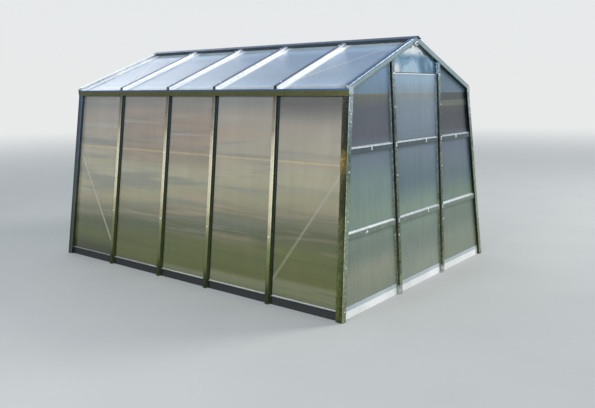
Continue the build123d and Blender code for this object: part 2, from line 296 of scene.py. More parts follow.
# A verge's gable flange, from its lower edge up to the fold, as heights above the roof: painted shade at the
# lower edge and a painted highlight at the fold
verge_flange_shade_edge = rgb(84, 94, 86)
verge_flange_bands = [
    (-0.0190, -0.0165, rgb(136, 156, 154)),
    (-0.0140, 0.0140, rgb(158, 180, 190)),
    (0.0115, 0.0130, rgb(112, 130, 138)),
    (0.0170, 0.0190, rgb(160, 178, 192)),
]
verge_top_start = (0.0225, 0.0255)
verge_flange_start = (0.0245, 0.0260)


def verge_paint(s):
    """Blue face on the roof as a painted sky reflection, painted glare at the far end, a dark step as painted
    shade, and a greyish flange on the gable, palest at the fold as a painted highlight.
    """
    above_roof = s.above("roof")
    flange = banded(s, above_roof, verge_flange_shade_edge, verge_flange_bands)
    # Painted glare on the far verge, painted shade on the near verge's step
    far_end_glare = s.math("GREATER_THAN", s.y, 0.0)
    step = s.mix(far_end_glare, rgb(50, 58, 58), rgb(204, 210, 216))
    top = s.mix(far_end_glare, rgb(60, 102, 144), rgb(226, 230, 234))
    colour = s.mix(s.span(above_roof, *verge_top_start), step, top)
    return s.mix(s.span(s.above("gable"), *verge_flange_start), colour, flange)


# Base rails: height of the end rails' upper strip, and the side rails' lip by height and reach; the lip's
# brightness is a painted highlight
end_strip_start = (0.0630, 0.0645)
lip_height_span = (0.0748, 0.0758)
lip_reach_span = (-0.0130, -0.0120)
lip_outer_span = (-0.0085, -0.0050)
lip_dulls_along = (-0.4, 1.6)


def end_base_paint(s):
    """Face painted white as lit steel, a painted light, and the duller strip that covers the feet of the
    sheets.
    """
    return s.mix(s.span(s.z, *end_strip_start), rgb(254, 254, 252), rgb(192, 204, 208))


def side_base_paint(s):
    """Face painted dark as shade, with a painted highlight on the lip, duller at its outer edge and towards
    the far end.
    """
    out = s.math("SUBTRACT", s.math("ABSOLUTE", s.x), half_width)
    lip_highlight = s.math("MULTIPLY", s.span(s.z, *lip_height_span), s.span(out, *lip_reach_span))
    outer = s.span(out, *lip_outer_span, 1.0, 0.45)
    share = s.math("MULTIPLY", outer, s.span(s.y, *lip_dulls_along, 1.0, 0.5))
    return s.mix(s.math("MULTIPLY", lip_highlight, share), rgb(22, 28, 29), rgb(232, 235, 234))


eave_lip_start = (-0.0055, -0.0040)


def eave_paint(s):
    """Dark olive face under a blue lip: painted reflections of ground and sky, with painted shade on the
    face.
    """
    return s.mix(s.span(s.above("roof"), *eave_lip_start), rgb(80, 82, 52), rgb(60, 92, 136))


# The apex plate's pale clouds, painted reflections of the sky, and where it is palest: under the apex and in
# its lower left corner
reflected_cloud_stretch = (3.6, 3.6, 5.0)
under_apex = (2.03, 2.09)
corner_across = (-0.22, -0.32)
corner_up = (1.94, 2.00)


def plate_paint(s):
    """Bright spangled sheet with pale clouds painted as sky reflections, palest towards the apex."""
    reflected_cloud = s.noise(s.stretch(*reflected_cloud_stretch), 1.0, 2.5, 0.5, 0.8)
    colour = s.mix(s.span(reflected_cloud, 0.36, 0.52), rgb(96, 134, 162), rgb(130, 166, 190))
    colour = s.mix(s.span(reflected_cloud, 0.52, 0.70), colour, rgb(174, 202, 220))
    top = s.math("MULTIPLY", s.span(s.z, *under_apex), s.span(reflected_cloud, 0.25, 0.40))
    corner = s.math("MULTIPLY", s.span(s.x, *corner_across), s.span(s.z, *corner_up, 1.0, 0.0))
    return s.mix(s.math("MAXIMUM", top, corner), colour, rgb(226, 236, 240))


def reach_at(s):
    """Half the length of the building at the surface's height."""
    return s.math("SUBTRACT", half_length, s.math("MULTIPLY", s.z, gable_lean / eave_height))


# The painted glare strip beside the rafters: distances from a rafter's middle over which it fades, and its
# strength
glare_strip_edge = (0.040, 0.100)
glare_strip_strength = 0.92
out_of_reach = 9.0


def rafter_glare_strip(s):
    """Mask of the painted glare strip: 1 in front of each rafter and of the far verge, and 0 further off, in
    an even strip.
    """
    reach = reach_at(s)
    nearest = out_of_reach
    for frame_share in frame_shares + [1.0]:
        ahead = s.math("SUBTRACT", s.math("MULTIPLY", reach, frame_share), s.y)
        behind = s.math("MULTIPLY", s.math("LESS_THAN", ahead, 0.0), out_of_reach)
        nearest = s.math("MINIMUM", s.math("ADD", ahead, behind), nearest)
    return s.span(nearest, *glare_strip_edge, glare_strip_strength, 0.0)


def frame_number(s):
    """Steps up by one at each frame along the building."""
    share = s.math("DIVIDE", s.y, reach_at(s))
    number = 0.0
    for frame_share in frame_shares:
        number = s.math("ADD", s.math("GREATER_THAN", share, frame_share), number)
    return number


def level_bands(s, density, jump):
    """Soft level bands, as many to a metre as density says, that jump a little at each frame."""
    along = s.math("ADD", s.math("MULTIPLY", s.y, 0.5), s.x)
    up = s.math("ADD", s.math("MULTIPLY", s.z, density), s.math("MULTIPLY", frame_number(s), jump))
    spot = s.node("ShaderNodeCombineXYZ", {0: along, 1: 0.0, 2: up}).outputs[0]
    return s.noise(spot, 1.0, 3.0, 0.55, 0.7)


def paint_bar_light(s, colour, across, start, end, half_width_seen, glow, share):
    """The sheet is painted paler where a straight bar lies against its back, between two points in its plane:
    painted light of the bar showing through.
    """
    run = Vector(end) - Vector(start)
    side = Vector((run.y, -run.x)).normalized()
    ahead = run.normalized()
    from_start = (s.math("SUBTRACT", across, start[0]), s.math("SUBTRACT", s.z, start[1]))

    def along(direction):
        first = s.math("MULTIPLY", from_start[0], direction.x)
        return s.math("ADD", first, s.math("MULTIPLY", from_start[1], direction.y))

    off_line = s.math("ABSOLUTE", along(side))
    mask = s.math("MULTIPLY", s.span(off_line, half_width_seen * 0.5, half_width_seen * 1.3, 1.0, 0.0), share)
    mask = s.math("MULTIPLY", mask, s.math("GREATER_THAN", along(ahead), 0.0))
    mask = s.math("MULTIPLY", mask, s.math("LESS_THAN", along(ahead), run.length))
    return s.mix(mask, colour, glow)


# Where the long wall's painted reflections and painted shade change from bay to bay. Bay 0 is the nearest to
# the front
rise_per_bay = 0.05
rise_at_front = 0.12
rise_fades = (0.85, 1.20)
shade_starts = (1.44, 1.66)
foot_fades = (0.12, 0.26)
rosy_starts = (1.02, 1.14)
rosy_fades = (1.46, 1.66)

# Where the level bands of painted reflection on the long wall show, by height and along the wall
bands_start = (0.35, 0.62)
bands_fade = (1.30, 1.70)
bands_grow_along = (-1.5, -0.3)
low_bands_fade = (0.35, 0.60)


def bay_zone(s, bay, first, last):
    """1 on the bays from first to last and 0 on the others."""
    above = s.math("GREATER_THAN", bay, first - 0.5)
    return s.math("MULTIPLY", above, s.math("LESS_THAN", bay, last + 0.5))


def wall_sheet_paint(s):
    """Painted reflections by height, shifted in some bays, with painted shade at the top of bay 0 and the
    foot of bay 4, a painted rosy light in bays 2 and 3, and soft level bands of painted reflection.
    """
    bay = frame_number(s)
    shift = s.math("SUBTRACT", s.math("MULTIPLY", bay, rise_per_bay), rise_at_front)
    shift = s.math("MULTIPLY", shift, s.span(s.z, *rise_fades, 1.0, 0.0))
    colour = by_height(wall_reflection_stops)(s, s.math("ADD", s.z, shift))
    top_shade = s.math("MULTIPLY", bay_zone(s, bay, 0, 0), s.span(s.z, *shade_starts, 0.0, 0.50))
    foot_shade = s.math("MULTIPLY", bay_zone(s, bay, 4, 4), s.span(s.z, *foot_fades, 0.58, 0.0))
    colour = s.tint(colour, s.math("SUBTRACT", 1.0, s.math("MAXIMUM", top_shade, foot_shade)))
    rosy = s.math("MULTIPLY", s.span(s.z, *rosy_starts), s.span(s.z, *rosy_fades, 0.42, 0.20))
    colour = s.mix(s.math("MULTIPLY", bay_zone(s, bay, 2, 3), rosy), colour, rgb(150, 127, 111))
    # Painted reflections: warm and cool level bands, thin pale streaks and low olive bands
    level = level_bands(s, 8.0, 0.45)
    zone = s.math("MULTIPLY", s.span(s.z, *bands_start), s.span(s.z, *bands_fade, 1.0, 0.30))
    zone = s.math("MULTIPLY", zone, s.span(s.y, *bands_grow_along, 0.45, 1.0))
    warm = s.math("MULTIPLY", s.span(level, 0.50, 0.66, 0.0, 0.70), zone)
    cool = s.math("MULTIPLY", s.span(level, 0.34, 0.50, 0.60, 0.0), zone)
    colour = s.mix(warm, colour, rgb(192, 174, 154))
    colour = s.mix(cool, colour, rgb(142, 148, 142))
    thin = level_bands(s, 19.0, 1.1)
    streak = s.math("MULTIPLY", s.span(thin, 0.57, 0.70, 0.0, 0.34), zone)
    colour = s.mix(streak, colour, rgb(202, 206, 204))
    low = s.math("MULTIPLY", s.span(thin, 0.34, 0.50, 0.45, 0.0), s.span(s.z, *low_bands_fade, 1.0, 0.0))
    colour = s.mix(low, colour, rgb(94, 104, 62))
    # Painted light of the girt and brace behind the sheet
    across = s.math("ABSOLUTE", s.y)
    girt = ((0.0, girt_height), (half_length, girt_height))
    colour = paint_bar_light(s, colour, across, *girt, girt_seen, rgb(230, 212, 168), 0.50)
    share = s.span(s.y, *brace_clears_along, 0.26, 0.62)
    return paint_bar_light(s, colour, across, *wall_brace_line, wall_brace_seen, rgb(220, 220, 208), share)


def gable_sheet_paint(s):
    """Each column of sheets has its own run of colours: painted reflections and uneven painted light by
    height.
    """
    post = gable_post_spacing / 2
    bands = [
        (-post - column_blend, -post + column_blend, by_height(gable_middle_stops)(s)),
        (post - column_blend, post + column_blend, by_height(gable_right_stops)(s)),
    ]
    return banded(s, s.x, by_height(gable_left_stops)(s), bands)


def roof_sheet_paint(s):
    """Colours by height as painted sky reflection, and darker blue towards the front verge as a painted
    reflection of the verge.
    """
    edge = s.span(s.above("gable"), *verge_reflection_span, 0.0, 0.62)
    edge = s.math("MULTIPLY", edge, s.math("LESS_THAN", s.y, 0.0))
    colour = s.mix(edge, by_height(roof_stops)(s), rgb(58, 92, 138))
    # Painted light of the brace behind the roof sheet
    across = s.math("ABSOLUTE", s.y)
    return paint_bar_light(s, colour, across, *roof_brace_line, roof_brace_seen, rgb(240, 244, 248), 0.5)


# Streaks in the sheets: how much the noise is squeezed across, along and up
streak_stretch = (80, 80, 0.7)
broad_stretch = (14, 14, 0.3)
haze_stretch = (1.3, 1.3, 1.9)
flute_stretch = (420, 420, 3)
flute_depth = 0.0009
broad_strength = 0.16
haze_strength = 0.18
rib_strength = 0.03
sheet_ior = 1.585
lamp_light_through = 0.8


def twin_wall(name, across, paint, clear, milk, streak=0.16, coat=1.0, glare_strip_mask=None):
    """Twin-wall sheet with fine upright flutes. Lamp light passes through, softened by the tint."""
    s = Shader(name)
    across = {"length": s.y, "width": s.x}[across]
    fine = s.noise(s.stretch(*streak_stretch), 1.0, 3.0, 0.65)
    broad = s.noise(s.stretch(*broad_stretch), 1.0)
    haze = s.noise(s.stretch(*haze_stretch), 1.0)
    rib = s.math("SINE", s.math("MULTIPLY", across, 2 * math.pi / flute_pitch))
    shade = s.math("ADD", s.math("MULTIPLY", fine, streak), s.math("MULTIPLY", broad, broad_strength))
    shade = s.math("ADD", shade, s.math("MULTIPLY", haze, haze_strength))
    shade = s.math("ADD", shade, s.math("MULTIPLY", rib, rib_strength))
    shade = s.math("ADD", shade, 1 - (streak + broad_strength + haze_strength) / 2)
    colour = s.tint(paint(s), shade)
    flutes = s.noise(s.stretch(*flute_stretch), 1.0, 1.0)
    bump = s.node("ShaderNodeBump", {"Strength": 0.9, "Distance": flute_depth, "Height": flutes})
    skin = s.node(
        "ShaderNodeBsdfPrincipled",
        {
            "Base Color": colour,
            "Roughness": 0.12,
            "IOR": sheet_ior,
            "Coat Weight": coat,
            "Coat Roughness": 0.12,
            "Transmission Weight": clear,
            "Normal": bump.outputs[0],
        },
    )
    cloudy = s.node("ShaderNodeBsdfTranslucent", {"Color": colour})
    body = s.node("ShaderNodeMixShader", {0: milk, 1: skin.outputs[0], 2: cloudy.outputs[0]})
    # Painted glare: a pale skin mixed in along the strip that the mask gives
    if glare_strip_mask:
        glare_skin = s.node("ShaderNodeBsdfPrincipled", {"Base Color": glare_white, "Roughness": 0.35})
        body = s.node("ShaderNodeMixShader", {0: glare_strip_mask(s), 1: body.outputs[0], 2: glare_skin.outputs[0]})
    lamp_ray = s.node("ShaderNodeLightPath").outputs["Is Shadow Ray"]
    passing = s.node("ShaderNodeBsdfTransparent", {"Color": sheet_tint})
    share = s.math("MULTIPLY", lamp_ray, lamp_light_through)
    surface = s.node("ShaderNodeMixShader", {0: share, 1: body.outputs[0], 2: passing.outputs[0]})
    return s.finish(surface.outputs[0])


# Colours of the steel
# Wall post crowns: painted reflections of ground and sky by height, with painted shade at the foot and under
# the eave
crown_reflection_stops = [
    (0.09, rgb(62, 66, 40)),
    (0.22, rgb(110, 114, 74)),
    (0.42, rgb(120, 126, 86)),
    (0.62, rgb(174, 170, 132)),
    (0.74, rgb(206, 202, 170)),
    (1.15, rgb(210, 204, 176)),
    (1.32, rgb(186, 180, 156)),
    (1.46, rgb(140, 136, 118)),
    (1.62, rgb(116, 112, 98)),
    (1.75, rgb(82, 82, 68)),
]
# Wall post webs: darkened as painted shade, tinted by painted reflections
web_shade_stops = [
    (0.40, rgb(92, 108, 66)),
    (0.85, rgb(80, 88, 62)),
    (1.05, rgb(74, 88, 82)),
    (1.30, rgb(64, 84, 86)),
    (1.65, rgb(66, 86, 94)),
]
# Corner post's wall face: painted reflections by height, an amber one near 1.25 m
corner_reflection_stops = [
    (0.10, rgb(82, 90, 48)),
    (0.50, rgb(78, 84, 52)),
    (0.72, rgb(74, 78, 48)),
    (0.92, rgb(52, 55, 38)),
    (1.08, rgb(62, 62, 44)),
    (1.25, rgb(110, 96, 52)),
    (1.35, rgb(52, 52, 38)),
    (1.50, rgb(46, 48, 40)),
    (1.70, rgb(50, 52, 48)),
]
# Corner post's gable flange: painted paler as lit, with painted sky reflection towards the top
corner_flange_light_stops = [
    (0.20, rgb(158, 162, 136)),
    (0.50, rgb(158, 172, 152)),
    (0.92, rgb(146, 166, 140)),
    (1.20, rgb(98, 120, 110)),
    (1.42, rgb(122, 140, 140)),
    (1.62, rgb(156, 176, 178)),
    (1.72, rgb(144, 162, 166)),
]
back_corner_stops = [(0.5, rgb(66, 74, 66)), (1.3, rgb(62, 76, 88))]
# Gable post crowns: painted light and reflections by height
gable_crown_light_stops = [
    (0.058, rgb(222, 226, 220)),
    (0.085, rgb(158, 166, 136)),
    (0.30, rgb(118, 120, 90)),
    (0.80, rgb(114, 124, 106)),
    (1.22, rgb(124, 136, 128)),
    (1.45, rgb(86, 100, 100)),
    (1.62, rgb(98, 112, 112)),
    (1.82, rgb(134, 150, 154)),
]
# Gable post flanges painted pale as lit, and webs below darkened as painted shade
gable_flange_light_stops = [(0.45, rgb(200, 212, 186)), (1.20, rgb(226, 240, 244))]
gable_web_shade_stops = [
    (0.058, rgb(198, 204, 198)),
    (0.085, rgb(94, 100, 72)),
    (0.45, rgb(70, 80, 62)),
    (0.80, rgb(50, 57, 48)),
    (1.05, rgb(36, 43, 38)),
    (1.60, rgb(30, 38, 38)),
    (1.80, rgb(26, 34, 36)),
]
# The wall posts' flanges are painted dark as shade beside the webs
flange_shade = plain(rgb(40, 50, 54))
wall_web_shade = by_height(web_shade_stops)
post_steel = steel("post_steel", hat_paint("wall", by_height(crown_reflection_stops), wall_web_shade, flange_shade))
gable_crown = by_height(gable_crown_light_stops)


def with_plate_reflection(stops):
    """Colour by height, but bright beside the apex plate on the right-hand post, as a painted reflection of
    the plate.
    """

    def paint(s):
        share = s.math("MULTIPLY", s.span(s.z, 1.895, 1.905), s.math("GREATER_THAN", s.x, 0.0))
        # Painted reflection of the apex plate in the post
        return s.mix(share, by_height(stops)(s), rgb(100, 124, 140))

    return paint


gable_hat = hat_paint("gable", gable_crown, with_plate_reflection(gable_web_shade_stops), with_plate_reflection(gable_flange_light_stops))
gable_post_steel = steel("gable_post_steel", gable_hat, spangle=0.24, blotch=0.3, hollow_shade_reach=0)
corner_steel = steel("corner_steel", corner_paint(corner_reflection_stops), spangle=0.2, blotch=0.25, hollow_shade_reach=0)
back_corner_steel = steel("back_corner_steel", corner_paint(back_corner_stops))
# Rafter webs and flanges painted white as highlights, crowns dark blue as a painted sky reflection
rafter_highlight_white = plain(rgb(226, 230, 234))
rafter_hat = hat_paint("roof", plain(rgb(60, 78, 106)), rafter_highlight_white, rafter_highlight_white)
rafter_steel = steel("rafter_steel", rafter_hat, metal=0.4)
verge_steel = steel("verge_steel", verge_paint, hollow_shade_reach=0)
# Ridge cap painted blue as a sky reflection
cap_steel = steel("cap_steel", plain(rgb(56, 82, 114)))
eave_steel = steel("eave_steel", eave_paint)
rail_steel = steel("rail_steel", rail_paint, metal=0.4, rough=0.45, hollow_shade_reach=0, spangle=0.2, blotch=0.12)
side_base_steel = steel("side_base_steel", side_base_paint, rough=0.6, metal=0.1, hollow_shade_reach=0, spangle=0.2)
end_base_steel = steel("end_base_steel", end_base_paint, metal=0.0, spangle=0.04, hollow_shade_reach=0)
inner_steel = steel("inner_steel", plain(rgb(250, 242, 228)), metal=0.2)
plate_steel = steel("plate_steel", plate_paint, spangle=0.16, rough=0.22, wave=0.02, hollow_shade_reach=0)
zinc = steel("bright_zinc", plain(rgb(248, 248, 248)), metal=0.25, spangle=0.06, hollow_shade_reach=0)
# Dark grey also serves as painted shade under the ridge cap and in the knob's dish
dark_grey = steel("dark_grey", plain(rgb(38, 48, 56)), metal=0.0, rough=0.5, hollow_shade_reach=0)
pale_grey = steel("pale_grey", plain(rgb(176, 188, 192)), metal=0.3, hollow_shade_reach=0)
rubber_and_shade = steel("sealing_rubber", plain(rgb(40, 40, 42)), metal=0.0, rough=0.6, hollow_shade_reach=0)

# Colours of the sheets, and the bars that lie behind them: distance along or across, then height
# Long wall sheets: painted reflections of ground and sky by height
wall_reflection_stops = [
    (0.085, rgb(142, 147, 110)),
    (0.13, rgb(112, 118, 56)),
    (0.32, rgb(114, 121, 62)),
    (0.50, rgb(104, 112, 76)),
    (0.61, rgb(136, 137, 110)),
    (0.78, rgb(178, 175, 146)),
    (1.00, rgb(190, 186, 162)),
    (1.30, rgb(186, 180, 165)),
    (1.50, rgb(179, 174, 165)),
    (1.70, rgb(152, 154, 152)),
]
eave_line_seen = 1.731
# Gable sheet columns: painted reflections and painted light by height, sky reflection above the eave line
gable_left_stops = [
    (0.12, rgb(180, 188, 168)),
    (0.30, rgb(190, 194, 174)),
    (0.50, rgb(158, 174, 160)),
    (0.68, rgb(173, 194, 178)),
    (1.00, rgb(163, 186, 181)),
    (1.25, rgb(139, 161, 178)),
    (1.42, rgb(112, 118, 134)),
    (1.60, rgb(110, 120, 134)),
    (eave_line_seen - 0.030, rgb(128, 136, 132)),
    (eave_line_seen - 0.004, rgb(148, 152, 124)),
    (eave_line_seen + 0.004, rgb(148, 178, 200)),
    (1.95, rgb(164, 198, 226)),
]
gable_middle_stops = [
    (0.12, rgb(189, 197, 180)),
    (0.45, rgb(160, 176, 164)),
    (0.68, rgb(169, 191, 173)),
    (1.00, rgb(129, 156, 167)),
    (1.30, rgb(140, 163, 180)),
    (1.60, rgb(155, 175, 190)),
    (eave_line_seen - 0.040, rgb(164, 179, 186)),
    (eave_line_seen - 0.008, rgb(170, 181, 177)),
    (eave_line_seen + 0.006, rgb(173, 194, 207)),
    (1.88, rgb(190, 216, 233)),
]
gable_right_stops = [
    (0.12, rgb(174, 185, 163)),
    (0.30, rgb(171, 183, 165)),
    (0.50, rgb(146, 166, 151)),
    (0.68, rgb(153, 179, 160)),
    (1.00, rgb(125, 147, 158)),
    (1.25, rgb(116, 138, 160)),
    (1.42, rgb(70, 78, 92)),
    (1.52, rgb(62, 72, 86)),
    (eave_line_seen - 0.135, rgb(78, 88, 90)),
    (eave_line_seen - 0.115, rgb(122, 130, 118)),
    (eave_line_seen - 0.078, rgb(126, 134, 120)),
    (eave_line_seen - 0.064, rgb(70, 86, 86)),
    (eave_line_seen - 0.004, rgb(68, 84, 86)),
    (eave_line_seen + 0.004, rgb(120, 152, 172)),
    (1.95, rgb(112, 146, 168)),
]
# Roof sheets: painted sky reflection by height, palest at the eave and the ridge
roof_stops = [
    (1.785, rgb(214, 232, 246)),
    (1.82, rgb(180, 204, 226)),
    (1.89, rgb(164, 190, 214)),
    (2.06, rgb(152, 184, 216)),
    (2.12, rgb(196, 222, 244)),
    (2.15, rgb(240, 250, 255)),
]
sheet_tint = (0.80, 0.80, 0.78, 1)
glare_white = rgb(250, 252, 255)
flute_pitch = 0.0105
wall_brace_line = ((1.0964, 0.160), (1.751, 1.132))
roof_brace_line = ((1.033, 1.811), (1.661, 2.165))
girt_seen = 0.010
wall_brace_seen = 0.012
roof_brace_seen = 0.009
brace_clears_along = (-0.8, 0.8)
verge_reflection_span = (-0.13, -0.025)
column_blend = 0.002
wall_sheet = twin_wall("wall_sheet", "length", wall_sheet_paint, 0.5, 0.3, 0.12)
gable_sheet = twin_wall("gable_sheet", "width", gable_sheet_paint, 0.5, 0.25, 0.40, coat=0.25)
roof_sheet = twin_wall("roof_sheet", "length", roof_sheet_paint, 0.45, 0.35, 0.10, glare_strip_mask=rafter_glare_strip)

finishes = {
    "base_rail_left": side_base_steel,
    "base_rail_right": side_base_steel,
    "base_rail": end_base_steel,
    "corner_post": corner_steel,
    "corner_post_back": back_corner_steel,
    "wall_posts": post_steel,
    "rafters": rafter_steel,
    "verge": verge_steel,
    "eave_rail": eave_steel,
    "ridge_cap": cap_steel,
    "gable_post": gable_post_steel,
    "gable_rail": rail_steel,
    "gable_plate": plate_steel,
    "wall_girt": inner_steel,
    "wall_braces": inner_steel,
    "roof_braces": inner_steel,
    "wall_sheets": wall_sheet,
    "roof_sheets": roof_sheet,
    "gable_sheets": gable_sheet,
}
for name, piece in nodes.items():
    start = max((key for key in finishes if name.startswith(key)), key=len)
    piece.data.materials.clear()
    piece.data.materials.append(finishes[start])


# Fixings and trim, with the places of their materials in a mesh
# The dark rubber serves for real seals and as painted shade in the rafter ends and the knob's shadow
fixing_materials = [zinc, rubber_and_shade, dark_grey, pale_grey]
zinc_slot, rubber_and_shade_slot, dark_slot, pale_slot = range(4)


def round_outline(radius, sides):
    turn = 2 * math.pi / sides
    return [Vector((radius * math.cos(i * turn), radius * math.sin(i * turn))) for i in range(sides)]


def box_outline(width, height, corner, steps=4):
    """Rectangle with rounded corners."""
    points = []
    for quarter, (x, y) in enumerate(((1, 1), (-1, 1), (-1, -1), (1, -1))):
        for i in range(steps + 1):
            angle = math.pi / 2 * (quarter + i / steps)
            middle = Vector((x * (width / 2 - corner), y * (height / 2 - corner)))
            points.append(middle + corner * Vector((math.cos(angle), math.sin(angle))))
    return points


class Fixings:
    """Small parts gathered into one mesh, mirrored to the other side or end as asked."""

    def __init__(self, name):
        self.name = name
        self.mesh = bmesh.new()

    def stack(self, place, out, along, rings, slot=zinc_slot):
        """Closed body of rings, each an outline and its height above the place."""
        across = along.cross(out).normalized()
        along = out.cross(across).normalized()
        rows = []
        for outline, height in rings:
            spots = [place + across * p.x + along * p.y + out * height for p in outline]
            rows.append([self.mesh.verts.new(spot) for spot in spots])
        made = []
        for low, high in zip(rows, rows[1:]):
            count = len(low)
            for i in range(count):
                j = (i + 1) % count
                made.append(self.mesh.faces.new((low[i], low[j], high[j], high[i])))
        made.append(self.mesh.faces.new(rows[0][::-1]))
        made.append(self.mesh.faces.new(rows[-1]))
        for face in made:
            face.material_index = slot

    def screw(self, place, out, along, size=1.0):
        """Hexagon head on a washer with a rubber seal under it."""
        seal = round_outline(0.0082 * size, 16)
        washer = round_outline(0.0072 * size, 20)
        rim = round_outline(0.0062 * size, 20)
        head = round_outline(0.0046 * size, 6)
        top = round_outline(0.0038 * size, 6)
        self.stack(place, out, along, [(seal, 0), (seal, 0.0012 * size)], rubber_and_shade_slot)
        plates = [(washer, 0.0012 * size), (washer, 0.0020 * size), (rim, 0.0028 * size)]
        self.stack(place, out, along, plates)
        self.stack(place, out, along, [(head, 0.0026 * size), (head, 0.0062 * size), (top, 0.0072 * size)])

    def bolt(self, place, out, along, size=1.0):
        """Round dome head on a wide washer."""
        washer = round_outline(0.0115 * size, 24)
        rim = round_outline(0.0105 * size, 24)
        domes = [(0.0078, 0.0024), (0.0074, 0.0044), (0.0058, 0.0062), (0.0032, 0.0072)]
        self.stack(place, out, along, [(washer, 0), (washer, 0.0014 * size), (rim, 0.0022 * size)])
        self.stack(place, out, along, [(round_outline(r * size, 20), h * size) for r, h in domes])

    def plate(self, place, out, along, width, height, thickness=0.0016, slot=zinc_slot):
        """Thin plate with rounded corners: its width across, height along and thickness outwards."""
        corner = min(width, height) * 0.12
        outline = box_outline(width, height, corner)
        inner = box_outline(width - corner / 2, height - corner / 2, corner * 0.75)
        self.stack(place, out, along, [(outline, 0), (outline, thickness * 0.7), (inner, thickness)], slot)

    def joint_plate(self, place, out, along, width, height):
        """Small plate on a dark bed with a screw near each end."""
        self.plate(place, out, along, width + 0.010, height + 0.012, 0.0010, rubber_and_shade_slot)
        face = place + out * 0.0008
        self.plate(face, out, along, width, height, slot=pale_slot)
        for shift in (-height / 4, height / 4):
            self.screw(face + along * shift + out * 0.0014, out, along, 0.8)

    def clip(self, place, out, along, turn=0.0):
        """Turning clip: a narrow plate with round ends, held by one screw."""
        side = along.cross(out).normalized()
        turned = (along * math.cos(turn) + side * math.sin(turn)).normalized()
        low = box_outline(0.015, 0.036, 0.0070, 6)
        high = box_outline(0.013, 0.034, 0.0062, 6)
        self.stack(place, out, turned, [(low, 0), (low, 0.0024), (high, 0.0034)])
        self.screw(place + out * 0.0030, out, turned, 0.7)

    def ring(self, place, out, along, radius, height):
        """Round dome knob with a dished crown, on a dark bed that stands for its painted shadow, and a dark
        plug as painted shade in the dish.
        """
        bed = round_outline(radius * 1.12, 32)
        self.stack(place, out, along, [(bed, 0), (bed, 0.0016)], rubber_and_shade_slot)
        dome = ((1.0, 0.06), (0.98, 0.35), (0.90, 0.65), (0.76, 0.86), (0.58, 0.97))
        dish = ((0.46, 1.0), (0.34, 0.88))
        rings = [(round_outline(radius * share, 32), height * rise) for share, rise in dome + dish]
        self.stack(place, out, along, rings, pale_slot)
        plug = round_outline(radius * 0.40, 24)
        self.stack(place, out, along, [(plug, height * 0.80), (plug, height * 0.93)], dark_slot)

    def finish(self, sides=(False,), ends=(False,)):
        """One object for each side and end asked for, riding on the frame."""
        for other_side in sides:
            for other_end in ends:
                copy = self.mesh.copy()
                scale = Vector((-1 if other_side else 1, -1 if other_end else 1, 1))
                for vertex in copy.verts:
                    vertex.co = vertex.co * scale
                bmesh.ops.recalc_face_normals(copy, faces=copy.faces)
                label = self.name
                if len(ends) > 1:
                    label += "_back" if other_end else "_front"
                if len(sides) > 1:
                    label += "_right" if other_side else "_left"
                mesh = bpy.data.meshes.new(label)
                copy.to_mesh(mesh)
                copy.free()
                for material in fixing_materials:
                    mesh.materials.append(material)
                piece = bpy.data.objects.new(label, mesh)
                bpy.context.scene.collection.objects.link(piece)
                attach(piece, "root")
        self.mesh.free()


both = (False, True)

# Screws on the posts by height, and on the rafters by distance from the ridge
wall_screw_heights = (0.56, 1.19)
roof_screw_places = (0.13, 0.97)

wall_screws = Fixings("wall_screws")
for share in frame_shares:
    for height in wall_screw_heights:
        wall_screws.screw(wall_point(share, height) + wall_out * hat_height, wall_out, wall_up)
wall_screws.finish(both)

roof_screws = Fixings("roof_screws")
for share in frame_shares:
    for across in roof_screw_places:
        roof_screws.screw(roof_point(share, across) + roof_out * hat_height, roof_out, roof_up)
roof_screws.finish(both)

# Dark plates standing for painted shade in the open ends of the rafters and under the ridge cap, and plates
# in the ends of the verges
surface_lift = 0.0005
rafter_end = 1.044
rafter_end_shade = (0.030, 0.004, 0.024)
verge_end = 1.050
verge_roof_plate = (0.038, 0.003, 0.0250)
verge_roof_shift = 0.006
verge_gable_plate = (0.023, 0.003, 0.0215)
verge_gable_shift = 0.0135
ridge_shade_across = 0.046
ridge_shade_size = (0.005, 0.0265)
hat_foot = 0.0245
verge_foot = 0.019
roof_shade_plates = Fixings("roof_shade_plates")
for share in frame_shares:
    spot = roof_point(share, rafter_end) + roof_out * surface_lift
    roof_shade_plates.plate(spot, roof_out, roof_up, *rafter_end_shade, rubber_and_shade_slot)
for end in (-1, 1):
    edge = roof_point(end, verge_end)
    inside = edge + roof_out * surface_lift + Vector((0, end * verge_roof_shift, 0))
    roof_shade_plates.plate(inside, roof_out, roof_up, *verge_roof_plate, pale_slot)
    outside = edge - roof_out * verge_gable_plate[2] + Vector((0, end * verge_gable_shift, 0))
    roof_shade_plates.plate(outside, roof_out, roof_up, *verge_gable_plate, pale_slot)
ridge_reach = roof_point(1, ridge_shade_across).y
ridge_ends = [-ridge_reach + verge_foot - hat_foot]
for share in frame_shares:
    ridge_ends.append(share * ridge_reach)
ridge_ends.append(ridge_reach - verge_foot + hat_foot)
for first, last in zip(ridge_ends, ridge_ends[1:]):
    spot = roof_point(0, ridge_shade_across) + roof_out * surface_lift + Vector((0, (first + last) / 2, 0))
    roof_shade_plates.plate(spot, roof_out, roof_up, last - first - 2 * hat_foot, *ridge_shade_size, dark_slot)
roof_shade_plates.finish(both)

